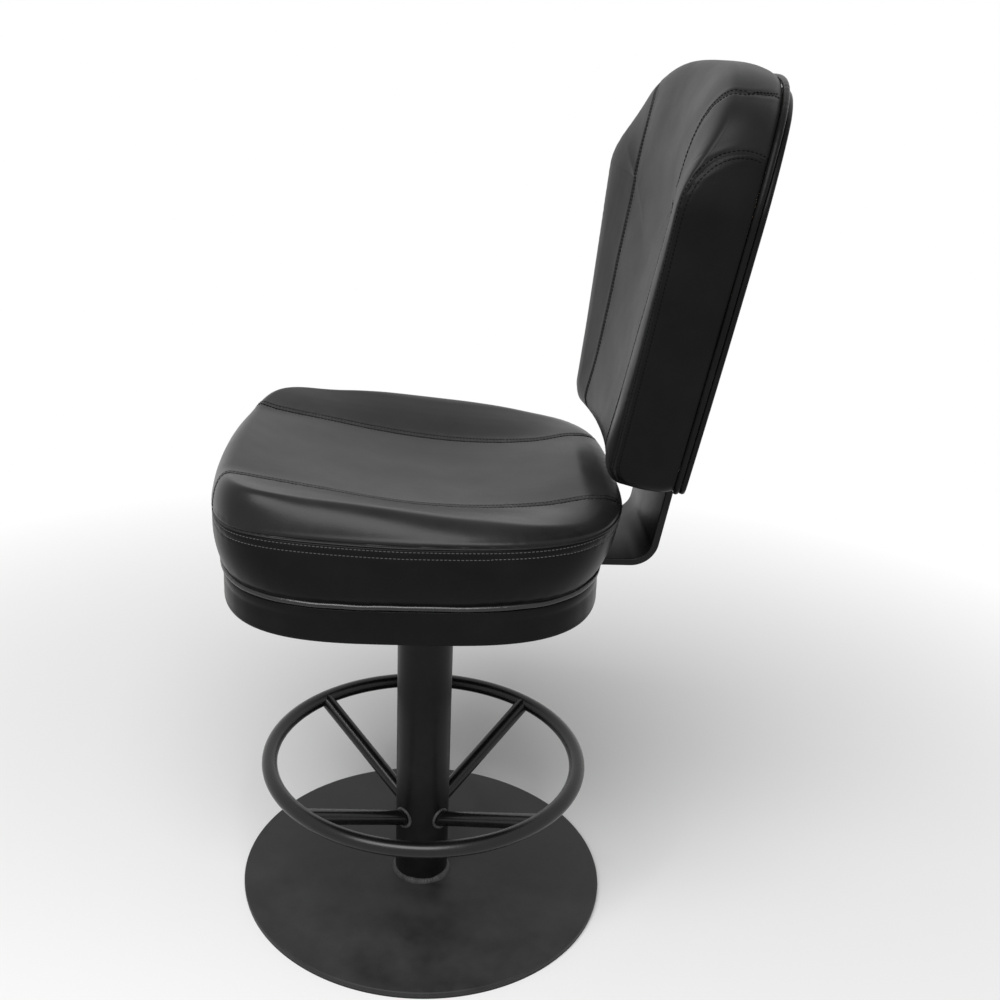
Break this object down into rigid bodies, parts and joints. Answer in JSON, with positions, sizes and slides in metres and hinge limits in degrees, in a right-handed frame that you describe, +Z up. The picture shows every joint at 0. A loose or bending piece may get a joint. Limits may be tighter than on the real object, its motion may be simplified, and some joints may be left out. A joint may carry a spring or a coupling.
{
  "type": "swivel gaming stool",
  "caption": "Swivelling upholstered seat with a tall leaning back on a bent bracket, on a round disc base with a column and a foot ring.",
  "frame": {"origin": "centre of the base's underside, on the floor and on the swivel's axis", "axes": "+Z up along the swivel's axis, the sitter faces -Y, +X to the sitter's left"},
  "size_m": [0.472, 0.582, 0.995],
  "materials": {
    "black_vinyl": "black upholstery vinyl with a fine grain and a soft sheen",
    "black_piping": "black vinyl piping, slightly glossy",
    "powder_coat": "satin black powder coat on steel",
    "weld_bead": "weld bead under a thin black coat",
    "bar_steel": "turned bar steel, bare",
    "zinc_steel": "zinc plated",
    "bush_nylon": "natural nylon",
    "plywood": "unfinished plywood",
    "pad_rubber": "thin black anti-slip sheet",
    "cover_cloth": "black non-woven underlining"
  },
  "bodies": {
    "base": {"floor_pad": "pad_rubber", "base_plate": "powder_coat", "foot_weld": "weld_bead", "column_tube": "powder_coat", "foot_ring": "powder_coat", "spoke_1": "powder_coat", "spoke_2": "powder_coat", "spoke_3": "powder_coat", "spoke_4": "powder_coat", "spoke_weld_1": "weld_bead", "spoke_weld_2": "weld_bead", "spoke_weld_3": "weld_bead", "spoke_weld_4": "weld_bead", "bearing_housing": "bar_steel", "lower_bush": "bush_nylon", "upper_bush": "bush_nylon", "lower_race": "bar_steel", "bearing_cage": "bush_nylon"},
    "seat": {"upper_race": "bar_steel", "spindle_weld": "bar_steel", "spindle": "bar_steel", "spindle_washer": "zinc_steel", "spindle_nut": "zinc_steel", "swivel_plate": "powder_coat", "plate_bolt_1": "zinc_steel", "plate_bolt_2": "zinc_steel", "plate_bolt_3": "zinc_steel", "plate_bolt_4": "zinc_steel", "plate_nut_1": "zinc_steel", "plate_nut_2": "zinc_steel", "plate_nut_3": "zinc_steel", "plate_nut_4": "zinc_steel", "seat_board": "plywood", "seat_cushion": "black_vinyl", "seat_welt": "black_piping", "seat_skirt": "black_vinyl", "dust_cover": "cover_cloth", "back_bracket": "powder_coat", "seat_screw_1": "zinc_steel", "seat_screw_2": "zinc_steel", "seat_screw_3": "zinc_steel", "seat_screw_4": "zinc_steel", "seat_nut_1": "zinc_steel", "seat_nut_2": "zinc_steel", "seat_nut_3": "zinc_steel", "seat_nut_4": "zinc_steel", "back_screw_1": "zinc_steel", "back_screw_2": "zinc_steel", "back_screw_3": "zinc_steel", "back_screw_4": "zinc_steel", "back_board": "plywood", "back_cushion": "black_vinyl", "back_welt": "black_piping", "back_panel": "black_vinyl", "pull_handle": "powder_coat", "handle_screw_1": "zinc_steel", "handle_screw_2": "zinc_steel", "handle_screw_3": "zinc_steel", "handle_screw_4": "zinc_steel"}
  },
  "joints": [
    {"name": "seat_swivel", "type": "hinge", "parent": "base", "child": "seat", "pos_m": [0, 0, 0.45], "axis": [0, 0, 1], "continuous": true}
  ]
}
